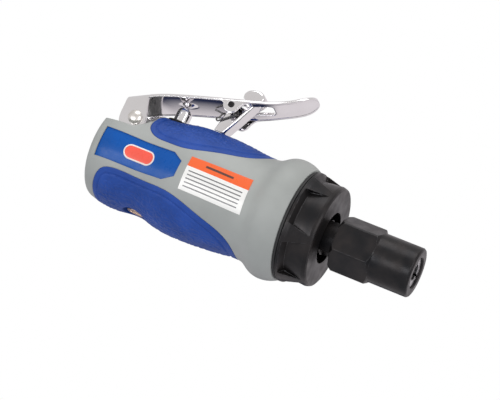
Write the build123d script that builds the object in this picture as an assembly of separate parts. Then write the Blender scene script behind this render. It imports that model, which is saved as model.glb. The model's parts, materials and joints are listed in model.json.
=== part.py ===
"""Small pneumatic die grinder with a throttle lever, as an assembly of separate pieces.

Millimetres. +X runs along the spindle towards the collet, +Z towards the throttle lever, and
the name plate seen from the operator's right side faces -Y. The origin is the centre of the
collet mouth.
"""

from build123d import *
import os
from math import copysign, cos, pi, radians, sin, sqrt

# ---- housing outside, as station along X and radius ------------------------------------------
BODY_PROFILE = [
    (-49.1, 22.5), (-52.0, 23.8), (-56.0, 24.35), (-58.8, 23.8), (-60.8, 22.75), (-62.6, 21.6),
    (-64.3, 20.95), (-66.5, 20.65), (-69.5, 20.75), (-80.0, 21.8), (-91.0, 22.3), (-100.0, 21.9), (-107.0, 20.6), (-112.0, 20.1),
    (-121.0, 20.8), (-127.0, 20.5), (-131.0, 19.6),
]
REAR_X = -134.0
REAR_FACE_R = 16.4
REAR_ROUND = (-133.2, 18.4)
FRONT_X = -49.1

# ---- motor bore and its stack, front to rear -------------------------------------------------
BORE_R = 17.0
LINER_R = 15.5
BORE_END_X = -104.0
SPIGOT_END_X = -57.4
CYLINDER_FRONT_X = -61.5
CYLINDER_REAR_X = -92.5
REAR_PLATE_END_X = -103.0
CYLINDER_BORE_R = 12.4
CYLINDER_OFFSET = 1.2
ROTOR_R = 11.0
ROTOR_END_GAP = 0.2
VANE_COUNT = 4
VANE_SLOT = 1.7
VANE_DEPTH = 5.4
VANE_GAP = 0.1

# ---- bearings: bore radius, outer radius, width, ball radius, ball count ---------------------
FRONT_BEARING = {"bore": 5.0, "outer": 13.0, "width": 8.0, "ball": 2.38, "count": 8}
REAR_BEARING = {"bore": 3.0, "outer": 9.5, "width": 6.0, "ball": 1.75, "count": 7}
FRONT_BEARING_X = SPIGOT_END_X
REAR_BEARING_X = -102.6
RACE_CLEARANCE = 0.05

# ---- spindle nose ----------------------------------------------------------------------------
COLLET_BORE_R = 3.175
COLLET_LENGTH = 22.0
COLLET_MOUTH_R = 6.0
COLLET_MAX_R = 7.0
COLLET_TAIL_R = 5.0
COLLET_SLITS = 3
NUT_FRONT_X = 0.8
NUT_REAR_X = -31.4
NUT_ROUND_R = 9.85
NUT_SHOULDER_X = -15.3
NUT_HEX_CORNER_R = 11.25
NUT_HEX_FLAT = 9.9
NECK_R = 7.0
THREAD_R = 8.0

# ---- clamp nut -------------------------------------------------------------------------------
RING_FRONT_X = -35.8
RING_REAR_X = -48.1
RING_FRONT_R = 20.0
RING_REAR_R = 22.2
RING_HOLE_R = 10.35
RING_POCKETS = 6
RING_POCKET_TURN = 22.0
RING_POCKET_PROFILE = [(-46.6, 22.0), (-45.1, 19.5), (-37.7, 20.2), (-37.7, 23.3), (-46.6, 23.3)]
RING_POCKET_HALF_WIDTHS = (7.5, 8.8)

# ---- grips, plates and label -----------------------------------------------------------------
PAD_DEPTH = 2.4
PAD_PROUD = 0.12
PAD_GROOVE_INSET = 2.0
PAD_GROOVE_WIDTH = 0.7
PAD_GROOVE_DEPTH = 0.45
PLATE_DEPTH = 1.1
PLATE_RECESS = 0.5
LABEL_RECESS = 0.15
LABEL_PROUD = 0.08

# ---- lever, catch and valve ------------------------------------------------------------------
PIVOT = (-124.7, 13.8)
PIVOT_PIN_R = 1.6
RUNNING = 0.05
EAR_INNER_Y = 9.5
LEVER_HALF_WIDTH = 11.0
PADDLE_HALF_WIDTH = 8.2
PADDLE_TIP_X = -63.5
PADDLE_ROUND_X = -70.0
PADDLE_POWER = 0.77
SHEET = 1.3
DIMPLE_R = 3.2
DIMPLE_CENTRE = (-111.3, 30.55)
BOSS_HALF_WIDTH = 9.2
BOSS_R = 3.8
LEDGE_Z = 8.2
CATCH_PIVOT = (-91.1, 32.6)
CATCH_PIN_R = 1.25
CATCH_HALF_WIDTH = 4.0
CATCH_SHEET = 1.2
LEVER_SLOT = (-94.8, -77.4)
LEVER_SLOT_HALF_WIDTH = 4.6
FOOT_TROUGH = (-99.5, -87.6)
FOOT_TROUGH_HALF_WIDTH = 5.4
FOOT_TROUGH_Z = 20.5
VALVE_X = -111.0
STEM_R = 3.15
STEM_TOP_Z = 27.2
VALVE_BORE_R = 5.0
SPRING_FLOOR_Z = -8.0
POPPET_Z = (1.4, 3.4)
REGULATOR_SHOULDER_Z = -15.5
REGULATOR_HEAD_Z = -19.4
REGULATOR_HEAD_R = 3.8
REGULATOR_MOUTH_R = 5.45

# ---- air inlet and exhaust -------------------------------------------------------------------
INLET_Z = -2.5
INLET_THREAD_R = 5.72
INLET_BODY_R = 8.0
INLET_FACE_X = -136.0
INLET_INNER_X = -120.0
INLET_HEX_FLAT = 8.5
INLET_DEPTH = 12.4
SCREEN_R = 5.0
SCREEN_THICK = 0.6
EXHAUST_R = (11.8, 15.6)
EXHAUST_ANGLES = (-158.0, -22.0)

FAR = 60.0

os.makedirs("parts", exist_ok=True)


# ---- helpers ---------------------------------------------------------------------------------
def lathe(points, z=0.0):
    """Solid turned about the X direction at height z, from (x, radius) corners."""
    ring = make_face(Polyline(*[(x, 0, r) for x, r in points], close=True))
    return Pos(0, 0, z) * revolve(ring, Axis.X, 360)


def tube(x0, x1, outer, inner=0.0, z=0.0):
    """Turned tube or disc from x0 to x1."""
    return lathe([(x0, inner), (x1, inner), (x1, outer), (x0, outer)], z)


def upright(z0, z1, outer, inner=0.0, x=VALVE_X, y=0.0):
    """Vertical tube or disc from z0 to z1."""
    body = Pos(x, y, (z0 + z1) / 2) * Cylinder(outer, z1 - z0)
    if inner:
        body -= Pos(x, y, (z0 + z1) / 2) * Cylinder(inner, z1 - z0 + 1)
    return body


def upright_lathe(points, x=VALVE_X):
    """Solid turned about the vertical through x, from (radius, z) corners."""
    ring = make_face(Polyline(*[(r, 0, z) for r, z in points], close=True))
    return Pos(x, 0, 0) * revolve(ring, Axis.Z, 360)


def crosswise(x, z, radius, y0, y1):
    """Cylinder along Y."""
    return Pos(x, (y0 + y1) / 2, z) * Rot(90, 0, 0) * Cylinder(radius, abs(y1 - y0))


def slab(face, y0, y1):
    """Side-view face carried from y0 to y1."""
    return Pos(0, y0, 0) * extrude(face, amount=y1 - y0, dir=(0, 1, 0))


def xz(points):
    return [(x, 0, z) for x, z in points]


def polygon(points):
    return make_face(Polyline(*xz(points), close=True))


def box(x0, x1, y0, y1, z0, z1):
    middle = Pos((x0 + x1) / 2, (y0 + y1) / 2, (z0 + z1) / 2)
    return middle * Box(x1 - x0, y1 - y0, z1 - z0)


def turned_body(offset):
    """The housing's outer form, grown by offset, as one solid of revolution."""
    crest = xz([(x, r + offset) for x, r in BODY_PROFILE])
    outer = Spline(*crest)
    rear = ThreePointArc(crest[-1], (REAR_ROUND[0], 0, REAR_ROUND[1] + offset),
                         (REAR_X, 0, REAR_FACE_R + offset))
    closing = Polyline((REAR_X, 0, REAR_FACE_R + offset), (REAR_X, 0, 0), (FRONT_X, 0, 0), crest[0])
    return revolve(make_face([outer, rear, *closing.edges()]), Axis.X, 360)


def skin(inner, outer):
    """Shell between two offsets of the housing's outer form."""
    return turned_body(outer) - turned_body(inner)


def circle_of(count, start=0.0):
    return [start + 360.0 * i / count for i in range(count)]


# ---- grip outlines in side view --------------------------------------------------------------
UPPER_PAD_EDGE = [(-115.3, 23.0), (-115.3, 15.5), (-114.6, 10.9), (-111.4, 8.2), (-105.0, 7.2),
                  (-97.0, 7.2), (-88.5, 9.4), (-80.5, 11.7), (-73.0, 14.2), (-67.8, 18.2),
                  (-65.8, 24.0)]
LOWER_PAD_EDGE = [(-64.2, -24.0), (-67.0, -19.2), (-72.7, -16.3), (-80.2, -14.4), (-88.6, -12.1),
                  (-96.0, -10.5), (-105.3, -9.9), (-113.0, -9.5), (-121.0, -9.7), (-125.2, -11.0),
                  (-127.5, -14.0), (-128.2, -22.0)]


def beside(points, distances):
    """The same run of points moved sideways, to the left of its direction."""
    moved = []
    for i, ((x, z), distance) in enumerate(zip(points, distances)):
        xa, za = points[max(i - 1, 0)]
        xb, zb = points[min(i + 1, len(points) - 1)]
        run = sqrt((xb - xa) ** 2 + (zb - za) ** 2)
        moved.append((x - distance * (zb - za) / run, z + distance * (xb - xa) / run))
    return moved


def saddle_outline(edge, inset=0.0):
    """Side view of a pad: a smooth lower or upper edge, closed well outside the housing."""
    points = beside(edge, [inset] * len(edge))
    far_z = 32.0 if points[0][1] > 0 else -32.0
    first, last = points[0], points[-1]
    closing = Polyline(*xz([last, (last[0], far_z), (first[0], far_z), first]))
    return make_face([Spline(*xz(points)), *closing.edges()])


def plate_outline():
    """Name plate: square at the rear, cut to a blunt point at the front."""
    return polygon([(-130.1, -7.6), (-99.8, -7.3), (-95.2, -4.6), (-94.9, 1.9), (-99.2, 4.4),
                    (-130.0, 4.6)])


def label_outline():
    return polygon([(-92.0, -8.2), (-65.8, -8.4), (-66.4, 5.8), (-92.0, 5.2)])


def grip_pad(edge):
    """Rubber saddle with a fine groove following its edge."""
    pad = skin(-PAD_DEPTH, PAD_PROUD) & slab(saddle_outline(edge), -FAR, FAR)
    inset = saddle_outline(edge, PAD_GROOVE_INSET)
    inner = saddle_outline(edge, PAD_GROOVE_INSET + PAD_GROOVE_WIDTH)
    ribbon = slab(inset, -FAR, FAR) - slab(inner, -FAR, FAR)
    return pad - (ribbon & skin(PAD_PROUD - PAD_GROOVE_DEPTH, PAD_PROUD + 1))


# ---- housing ---------------------------------------------------------------------------------
def ledge_cut():
    """What is cut away from the top of the rear end, leaving the lever's boss."""
    side = polygon([(REAR_X - 2, LEDGE_Z - 0.3), (-120.5, LEDGE_Z + 0.4), (-117.6, 11.2),
                    (-115.5, 14.4), (-115.3, 32.0), (REAR_X - 2, 32.0)])
    whole = slab(side, -FAR, FAR)
    foot = polygon([(-130.4, LEDGE_Z - 2), (-119.0, LEDGE_Z - 2), (PIVOT[0] + BOSS_R, PIVOT[1]),
                    (PIVOT[0] - BOSS_R, PIVOT[1])])
    boss = slab(foot, -BOSS_HALF_WIDTH, BOSS_HALF_WIDTH)
    boss += crosswise(*PIVOT, BOSS_R, -BOSS_HALF_WIDTH, BOSS_HALF_WIDTH)
    return whole - boss


def exhaust_sector(x0, x1, shrink=0.0):
    """C-shaped block under the air inlet."""
    inner, outer = EXHAUST_R
    block = tube(x0, x1, outer - shrink, inner + shrink)
    start, end = (radians(a) for a in EXHAUST_ANGLES)
    wedge = Polyline((0, 0, 0), (0, FAR * cos(start), FAR * sin(start)), (0, 0, -FAR * 2),
                     (0, FAR * cos(end), FAR * sin(end)), close=True)
    return block & Pos(-FAR * 2.5, 0, 0) * extrude(make_face(wedge), amount=FAR * 3, dir=(1, 0, 0))


def valve_cuts():
    """Bores for the throttle valve, the regulator and the air passages."""
    cuts = upright(9.0, FAR, VALVE_BORE_R)
    cuts += upright(5.0, 9.1, 4.6)
    cuts += upright(3.4, 5.1, 3.6)
    cuts += upright(-FAR, 3.5, VALVE_BORE_R)
    cuts += upright(REGULATOR_SHOULDER_Z - 1.2, REGULATOR_SHOULDER_Z - 0.1, 5.6)
    cuts += Pos(VALVE_X, 0, 7.0) * tube(0, 8, 1.9)
    cuts += tube(INLET_INNER_X - 1, VALVE_X, 4.0, 0, INLET_Z)
    return cuts


def body_housing():
    housing = turned_body(0) - tube(BORE_END_X, 0, BORE_R)
    housing -= ledge_cut()
    housing -= tube(REAR_X - 5, INLET_INNER_X, INLET_BODY_R, 0, INLET_Z)
    housing -= valve_cuts()
    housing -= exhaust_sector(REAR_X - 1, -124.0)
    for side in (-1, 1):
        housing -= Pos(0, side * 9.7, -9.7) * tube(-124.5, BORE_END_X + 1, 1.7)
    housing -= crosswise(*PIVOT, PIVOT_PIN_R, -BOSS_HALF_WIDTH - 1, BOSS_HALF_WIDTH + 1)
    for edge in (UPPER_PAD_EDGE, LOWER_PAD_EDGE):
        housing -= skin(-PAD_DEPTH, PAD_PROUD + 1) & slab(saddle_outline(edge), -FAR, FAR)
    plate_pocket = skin(-PLATE_DEPTH - PLATE_RECESS, 1)
    housing -= plate_pocket & slab(plate_outline(), -FAR, FAR)
    housing -= skin(-LABEL_RECESS, 1) & slab(label_outline(), -FAR, 0)
    return housing


def name_plate(side):
    """Thin inlay lying a little below the housing's surface."""
    half = slab(plate_outline(), 0, FAR) if side > 0 else slab(plate_outline(), -FAR, 0)
    return skin(-PLATE_DEPTH - PLATE_RECESS, -PLATE_RECESS) & half


def side_label():
    return skin(-LABEL_RECESS, LABEL_PROUD) & slab(label_outline(), -FAR, 0)


def upper_grip_pad():
    pad = grip_pad(UPPER_PAD_EDGE)
    pad -= upright(9.0, FAR, VALVE_BORE_R)
    trough = box(*FOOT_TROUGH, -FOOT_TROUGH_HALF_WIDTH, FOOT_TROUGH_HALF_WIDTH, FOOT_TROUGH_Z, FAR)
    return pad - trough


def lower_grip_pad():
    return grip_pad(LOWER_PAD_EDGE) - upright(-FAR, 0, REGULATOR_MOUTH_R)


def front_seal():
    return tube(FRONT_X, RING_REAR_X, RING_REAR_R - 0.3, BORE_R + 0.1)


# ---- motor -----------------------------------------------------------------------------------
def clamp_nut():
    """Black ring with wrench pockets, screwed into the housing by its spigot."""
    ring = lathe([
        (RING_FRONT_X, RING_HOLE_R), (RING_FRONT_X, RING_FRONT_R - 0.9),
        (RING_FRONT_X - 0.3, RING_FRONT_R - 0.3), (RING_FRONT_X - 1.0, RING_FRONT_R),
        (RING_REAR_X + 2.6, RING_REAR_R - 0.2), (RING_REAR_X + 0.6, RING_REAR_R),
        (RING_REAR_X, RING_REAR_R - 0.5), (RING_REAR_X, BORE_R), (SPIGOT_END_X, BORE_R),
        (SPIGOT_END_X, LINER_R), (RING_REAR_X, LINER_R), (RING_REAR_X, 12.6), (-40.4, 12.6),
        (-40.4, RING_HOLE_R),
    ])
    return ring - ring_pockets()


def ring_pockets():
    """Wrench pockets: a steep wall at the rear, a ramp to the front, wider at the front."""
    rear, front = RING_POCKET_PROFILE[0][0], RING_POCKET_PROFILE[2][0]
    rear_half, front_half = RING_POCKET_HALF_WIDTHS
    plan = make_face(Polyline((rear, -rear_half), (front, -front_half), (front, front_half),
                              (rear, rear_half), close=True))
    sector = extrude(plan, amount=FAR, dir=(0, 0, 1))
    pocket = lathe(RING_POCKET_PROFILE) & sector
    return [Rot(angle, 0, 0) * pocket for angle in circle_of(RING_POCKETS, RING_POCKET_TURN)]


def front_end_plate():
    pocket = FRONT_BEARING["outer"]
    return lathe([(RING_REAR_X, pocket), (RING_REAR_X, LINER_R), (CYLINDER_FRONT_X, LINER_R),
                  (CYLINDER_FRONT_X, 5.6), (SPIGOT_END_X - 0.6, 5.6), (SPIGOT_END_X - 0.6, 11.4),
                  (SPIGOT_END_X, 11.4), (SPIGOT_END_X, pocket)])


def rear_end_plate():
    pocket = REAR_BEARING["outer"]
    floor = REAR_BEARING_X + REAR_BEARING["width"]
    return lathe([(CYLINDER_REAR_X, 3.6), (CYLINDER_REAR_X, LINER_R), (REAR_PLATE_END_X, LINER_R),
                  (REAR_PLATE_END_X, pocket), (floor, pocket), (floor, 8.0), (floor + 0.5, 8.0),
                  (floor + 0.5, 3.6)])


def motor_liner():
    return tube(BORE_END_X, SPIGOT_END_X, BORE_R, LINER_R)


def motor_cylinder():
    """Cylinder with its bore set off towards -Z, with inlet and exhaust slots."""
    cylinder = tube(CYLINDER_REAR_X, CYLINDER_FRONT_X, LINER_R)
    cylinder -= tube(CYLINDER_REAR_X - 1, CYLINDER_FRONT_X + 1, CYLINDER_BORE_R, 0, -CYLINDER_OFFSET)
    for x in (-69.0, -73.0, -77.0, -81.0, -85.0):
        cylinder -= box(x - 0.9, x + 0.9, 10.5, LINER_R + 1, -5.0, 1.0)
    cylinder -= Pos(0, 0, 13.7) * tube(CYLINDER_REAR_X - 1, CYLINDER_REAR_X + 4, 0.8)
    return cylinder


def cylinder_pin():
    """Dowel that keys the cylinder to the rear end plate's face."""
    return Pos(0, 0, 13.7) * tube(CYLINDER_REAR_X, CYLINDER_REAR_X + 4, 0.8)


def rotor():
    front, rear = CYLINDER_FRONT_X - ROTOR_END_GAP, CYLINDER_REAR_X + ROTOR_END_GAP
    shaft_front = FRONT_BEARING["bore"]
    shaft_rear = REAR_BEARING["bore"]
    body = lathe([(REAR_BEARING_X, 0), (REAR_BEARING_X, shaft_rear), (rear, shaft_rear),
                  (rear, ROTOR_R), (front, ROTOR_R), (front, shaft_front), (-48.4, shaft_front),
                  (-48.4, 4.6), (-36.0, 4.6), (-35.4, 4.0), (-35.4, 0)])
    for angle in circle_of(VANE_COUNT, 45):
        slot = box(rear - 1, front + 1, -VANE_SLOT / 2, VANE_SLOT / 2, ROTOR_R - VANE_DEPTH, FAR)
        keep = tube(rear, front, ROTOR_R + 1)
        body -= Rot(angle, 0, 0) * (slot & keep)
    return body


def rotor_vanes():
    front, rear = CYLINDER_FRONT_X - ROTOR_END_GAP, CYLINDER_REAR_X + ROTOR_END_GAP
    half = VANE_SLOT / 2 - VANE_GAP / 2
    blades = []
    for angle in circle_of(VANE_COUNT, 45):
        blade = box(rear, front, -half, half, ROTOR_R - VANE_DEPTH + VANE_GAP, ROTOR_R - VANE_GAP)
        blades.append(Rot(angle, 0, 0) * blade)
    return Compound(children=blades)


def bearing_parts(size, rear_x):
    """Outer race, inner race and balls of a deep-groove ball bearing."""
    front_x = rear_x + size["width"]
    middle = (rear_x + front_x) / 2
    pitch = (size["bore"] + size["outer"]) / 2
    groove = Pos(middle, 0, 0) * Rot(0, 90, 0) * Torus(pitch, size["ball"] + RACE_CLEARANCE)
    land = size["ball"] * 0.62
    outer = tube(rear_x, front_x, size["outer"], pitch + land) - groove
    inner = tube(rear_x, front_x, pitch - land, size["bore"]) - groove
    balls = []
    for angle in circle_of(size["count"]):
        turn = radians(angle)
        balls.append(Pos(middle, pitch * cos(turn), pitch * sin(turn)) * Sphere(size["ball"]))
    return outer, inner, Compound(children=balls)


def rear_gasket():
    return tube(BORE_END_X, REAR_PLATE_END_X, LINER_R, 10.4)


def wave_washer():
    """Spring washer between the rear bearing and the end of the bore."""
    return tube(BORE_END_X + 0.1, REAR_BEARING_X - 0.6, 9.3, 7.4)


def spindle_spacer():
    return tube(SPIGOT_END_X - 3.6, SPIGOT_END_X, 5.5, 5.0)


# ---- collet end ------------------------------------------------------------------------------
def collet():
    """Split collet: blunt cone at the mouth, long cone behind, three slits."""
    tail = -COLLET_LENGTH
    body = lathe([(0, COLLET_BORE_R), (0, COLLET_MOUTH_R - 0.3), (-0.3, COLLET_MOUTH_R),
                  (-2.3, COLLET_MAX_R), (-4.5, COLLET_MAX_R), (tail, COLLET_TAIL_R),
                  (tail, COLLET_BORE_R)])
    for angle in circle_of(COLLET_SLITS, 30):
        body -= Rot(angle, 0, 0) * box(tail + 4.0, 1, -0.45, 0.45, 0, FAR)
    return body


def collet_nut():
    hexagon = extrude(Plane.YZ * RegularPolygon(NUT_HEX_FLAT, 6, major_radius=False),
                      amount=NUT_REAR_X - NUT_FRONT_X - 1)
    hexagon = Pos(NUT_FRONT_X, 0, 0) * Rot(30, 0, 0) * hexagon
    head = lathe([(NUT_REAR_X, THREAD_R), (NUT_REAR_X, 10.4), (NUT_REAR_X + 1.2, NUT_HEX_CORNER_R),
                  (NUT_SHOULDER_X - 1.1, NUT_HEX_CORNER_R), (NUT_SHOULDER_X, NUT_ROUND_R),
                  (NUT_SHOULDER_X, THREAD_R)])
    nose = lathe([(NUT_SHOULDER_X, THREAD_R), (NUT_SHOULDER_X, NUT_ROUND_R),
                  (NUT_FRONT_X - 0.8, NUT_ROUND_R), (NUT_FRONT_X - 0.2, NUT_ROUND_R - 0.4),
                  (NUT_FRONT_X, NUT_ROUND_R - 0.9), (NUT_FRONT_X, COLLET_MOUTH_R + 0.5),
                  (NUT_FRONT_X - 0.4, COLLET_MOUTH_R + 0.1), (-0.3, COLLET_MOUTH_R + 0.05),
                  (-2.3, COLLET_MAX_R + 0.05), (-5.0, COLLET_MAX_R + 0.05), (-5.0, THREAD_R)])
    return (head & hexagon) + nose


def collet_body():
    """Spindle nose: thread and taper in front, neck with two wrench flats behind."""
    cone = [(-5.2, COLLET_MAX_R), (-COLLET_LENGTH, COLLET_TAIL_R + 0.05)]
    body = lathe([(-5.6, COLLET_MAX_R - 0.02), (-5.6, 7.5), (-6.2, THREAD_R), (NUT_REAR_X, THREAD_R),
                  (NUT_REAR_X, NECK_R), (-48.0, NECK_R), (-48.4, NECK_R - 0.4), (-48.4, 4.6),
                  (-35.3, 4.6), (-35.3, 3.5), (-COLLET_LENGTH - 1.5, 3.5),
                  (-COLLET_LENGTH - 1.5, COLLET_TAIL_R + 0.05), cone[1]])
    for side in (-1, 1):
        body -= box(-36.6, NUT_REAR_X - 0.4, -FAR, FAR, side * 8.5 - 2.4, side * 8.5 + 2.4)
    return body


# ---- lever and catch -------------------------------------------------------------------------
LEVER_CREST = [(-131.4, 21.35), (-124.7, 24.9), (-117.5, 28.0), (-106.4, 31.5), (-96.7, 34.3),
               (-88.0, 36.8), (-79.3, 39.8), (-73.0, 42.6), (-68.6, 45.2), (-65.4, 47.8),
               (-62.9, 50.6)]
LEVER_RIM = [1.8, 1.8, 1.8, 1.8, 1.8, 1.8, 1.6, 1.0, 0.9, 0.9, 0.9]


def strip(points, depths):
    """Side-view face of a bent sheet below a smooth crest line, so deep at each point."""
    lower = beside(points, [-depth for depth in depths])
    top = Spline(*xz(points))
    bottom = Spline(*xz(lower))
    ends = [Line(xz(points)[0], xz(lower)[0]), Line(xz(points)[-1], xz(lower)[-1])]
    return make_face([top, bottom, *ends])


def lever_plan(inset=0.0):
    """Plan outline of the lever: wide at the pivot, narrower paddle with a round tip."""
    wide, narrow = LEVER_HALF_WIDTH - inset, PADDLE_HALF_WIDTH - inset
    tip = PADDLE_TIP_X - inset
    half = [(-131.0 - inset, wide), (-92.0, wide), (-84.0, wide - 0.9), (-76.0, narrow + 0.3),
            (PADDLE_ROUND_X, narrow)]
    side_a = Polyline(*[(x, y) for x, y in half])
    side_b = Polyline(*[(x, -y) for x, y in half])
    rounding = []
    for step in range(9):
        across, ahead = cos(pi * step / 8), sin(pi * step / 8)
        x = PADDLE_ROUND_X + (tip - PADDLE_ROUND_X) * ahead ** PADDLE_POWER
        rounding.append((x, narrow * copysign(abs(across) ** PADDLE_POWER, across)))
    nose = Spline(*rounding)
    back = Line((-131.0 - inset, wide), (-131.0 - inset, -wide))
    plan = make_face([*side_a.edges(), *side_b.edges(), nose, back])
    return extrude(plan, amount=FAR, dir=(0, 0, 1))


def throttle_lever():
    """Pressed steel lever: down-turned edges, pivot and catch ears, a dimple over the stem."""
    count = len(LEVER_CREST)
    plate = slab(strip(LEVER_CREST, [SHEET] * count), -FAR, FAR) & lever_plan()
    rim = (slab(strip(LEVER_CREST, LEVER_RIM), -FAR, FAR) & lever_plan()) - lever_plan(SHEET)
    below = slab(strip(LEVER_CREST, [4.5] * count), -FAR, FAR)
    dimple = Pos(DIMPLE_CENTRE[0], 0, DIMPLE_CENTRE[1]) * Sphere(DIMPLE_R)
    lever = plate + rim + (dimple & below)
    rear_ear = polygon([(-131.4, 20.8), (-124.7, 24.2), (-123.4, 24.6), (-122.4, 20.0),
                        (-120.7, 15.5), (-120.1, 13.0), (-124.7, 9.1), (-129.3, 9.1),
                        (-130.7, 10.6), (-131.3, 14.0)])
    mid_ear = polygon([(-96.6, 33.4), (-85.2, 36.8), (-87.6, 31.8), (-94.2, 31.8)])
    for side in (-1, 1):
        y0, y1 = sorted((side * EAR_INNER_Y, side * LEVER_HALF_WIDTH))
        lever += slab(rear_ear, y0, y1)
        lever += crosswise(*PIVOT, 4.7, y0, y1)
        lever += slab(mid_ear, y0, y1)
        lever += crosswise(CATCH_PIVOT[0], CATCH_PIVOT[1], 3.2, y0, y1)
    lever -= crosswise(*PIVOT, PIVOT_PIN_R + RUNNING, -FAR, FAR)
    lever -= crosswise(*CATCH_PIVOT, CATCH_PIN_R, -FAR, FAR)
    rear, front = LEVER_SLOT
    half = LEVER_SLOT_HALF_WIDTH
    slot = box(rear, front, -half, half, 28.0, 45.0)
    lever -= fillet(slot.edges().filter_by(Axis.Z), 1.6)
    return lever


def lever_pin():
    """Pivot pin with low domed heads outside the ears."""
    pin = crosswise(*PIVOT, PIVOT_PIN_R, -11.1, 11.1)
    for side in (-1, 1):
        dome = Pos(PIVOT[0], side * 9.2, PIVOT[1]) * Sphere(3.9)
        shell = crosswise(*PIVOT, 2.8, side * 11.1, side * 13.4)
        pin += dome & shell
    return pin


def catch_pin():
    return crosswise(*CATCH_PIVOT, CATCH_PIN_R, -11.2, 11.2)


CATCH_OUTLINE = [(-95.4, 22.5), (-94.0, 25.4), (-93.9, 31.8), (-92.8, 34.5), (-90.6, 35.3),
                 (-88.2, 34.7), (-86.0, 36.4), (-90.8, 38.9), (-90.6, 41.0), (-89.7, 42.4),
                 (-88.0, 43.3), (-85.5, 43.7), (-83.2, 42.9), (-82.0, 41.2), (-82.8, 39.3),
                 (-84.5, 36.8), (-86.3, 33.0), (-88.0, 29.2), (-90.7, 23.4), (-91.4, 22.5)]


def safety_catch():
    """Folding lock: a channel open to the rear, with a thumb tab above the lever."""
    outline = polygon(CATCH_OUTLINE)
    half = CATCH_HALF_WIDTH
    body = slab(outline, -half, half)
    hollow = [(-97.0, 21.0), (-92.9, 21.0), (-91.9, 23.7), (-89.2, 29.6), (-87.5, 33.5),
              (-85.7, 37.3), (-84.2, 39.6), (-83.5, 41.0), (-84.1, 41.9), (-85.6, 42.4),
              (-87.8, 42.0), (-89.2, 41.2), (-92.5, 40.6), (-97.0, 36.0)]
    body -= slab(polygon(hollow), -half + CATCH_SHEET, half - CATCH_SHEET)
    body -= crosswise(*CATCH_PIVOT, CATCH_PIN_R + RUNNING, -FAR, FAR)
    return body


def wire(start, end, radius):
    """Straight round wire between two points."""
    along = Vector(*end) - Vector(*start)
    plane = Plane(origin=start, z_dir=along)
    return extrude(plane * Circle(radius), amount=along.length)


def catch_spring():
    """Torsion spring on the catch pin: three coils, a tail and a leg ending in an eye."""
    px, pz = CATCH_PIVOT
    thick = 0.35
    coil_r = 1.9
    spring = None
    for y in (-0.65, 0.0, 0.65):
        turn = Pos(px, y, pz) * Rot(90, 0, 0) * Torus(coil_r, thick)
        spring = turn if spring is None else spring + turn
    spring += wire((px - 0.2, 0.65, pz - coil_r), (px - 9.2, 0.65, pz - 1.3), thick)
    spring += wire((px - coil_r, -0.65, pz), (px - 3.2, -0.65, pz - 6.3), thick)
    spring += Pos(px - 3.4, -0.65, pz - 7.2) * Rot(90, 0, 0) * Torus(0.95, thick)
    return spring


# ---- throttle valve --------------------------------------------------------------------------
def valve_stem():
    top = STEM_TOP_Z
    return upright_lathe([(0, 0.6), (2.4, 0.6), (2.4, POPPET_Z[0]), (1.8, POPPET_Z[0]), (1.8, 5.4),
                          (STEM_R, 5.4), (STEM_R, top - 2.2), (STEM_R - 0.35, top - 1.1),
                          (STEM_R - 1.1, top - 0.4), (STEM_R - 2.1, top), (0, top)])


def valve_poppet():
    return upright(*POPPET_Z, 4.4, 1.8)


def valve_bushing():
    bush = upright(9.0, 20.6, VALVE_BORE_R, STEM_R + RUNNING)
    return bush - upright(13.0, 14.4, 4.5)


def ring_seal(major, minor, x, z):
    return Pos(x, 0, z) * Torus(major, minor)


def stem_seal():
    return ring_seal(3.86, 0.61, VALVE_X, 13.7)


def valve_spring():
    """Compression spring under the poppet, drawn as a real helix."""
    wire_r = 0.4
    pitch = 1.75
    height = POPPET_Z[0] - SPRING_FLOOR_Z - 2 * wire_r
    path = Helix(pitch=pitch, height=height, radius=3.0)
    section = Plane(path @ 0, z_dir=path % 0) * Circle(wire_r)
    return Pos(VALVE_X, 0, SPRING_FLOOR_Z + wire_r) * sweep(section, path=path, is_frenet=True)


# ---- regulator -------------------------------------------------------------------------------
def regulator_screw():
    """Rotary drum: slotted head below, cup with an air window above."""
    radius = VALVE_BORE_R - RUNNING
    drum = upright(REGULATOR_SHOULDER_Z, -1.5, radius)
    drum += upright(REGULATOR_HEAD_Z, REGULATOR_SHOULDER_Z, REGULATOR_HEAD_R)
    drum -= upright(SPRING_FLOOR_Z, 0, 3.9)
    drum -= box(VALVE_X - 6, VALVE_X, -3.0, 3.0, -7.0, 0)
    drum -= upright(-13.3, -12.0, FAR, 3.74)
    drum -= box(VALVE_X - 6, VALVE_X + 6, -0.75, 0.75, REGULATOR_HEAD_Z - 1, REGULATOR_HEAD_Z + 1.6)
    return drum


def regulator_seal():
    return ring_seal(4.34, 0.59, VALVE_X, -12.65)


def regulator_retaining_ring():
    """Snap ring in a groove below the regulator, open on one side."""
    top = REGULATOR_SHOULDER_Z - 0.2
    ring = upright(top - 0.9, top, 5.55, 4.0)
    return ring - box(VALVE_X, VALVE_X + 8, -1.2, 1.2, top - 2, top + 1)


# ---- inlet and exhaust -----------------------------------------------------------------------
def air_inlet_bushing():
    flange = Plane.YZ * RegularPolygon(INLET_HEX_FLAT, 6, major_radius=False, rotation=30)
    head = Pos(INLET_FACE_X, 0, INLET_Z) * extrude(flange, amount=2.0)
    body = head + tube(REAR_X, INLET_INNER_X, INLET_BODY_R, 0, INLET_Z)
    body -= tube(INLET_FACE_X - 1, INLET_FACE_X + INLET_DEPTH, INLET_THREAD_R, 0, INLET_Z)
    seat_x = INLET_FACE_X + INLET_DEPTH
    body -= tube(seat_x - 1, seat_x + SCREEN_THICK, SCREEN_R, 0, INLET_Z)
    body -= tube(INLET_FACE_X, INLET_INNER_X + 1, 4.0, 0, INLET_Z)
    body -= tube(-122.2, -121.0, 9.0, 6.8, INLET_Z)
    return body


def inlet_seal():
    return Pos(-121.6, 0, INLET_Z) * Rot(0, 90, 0) * Torus(7.39, 0.58)


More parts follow.
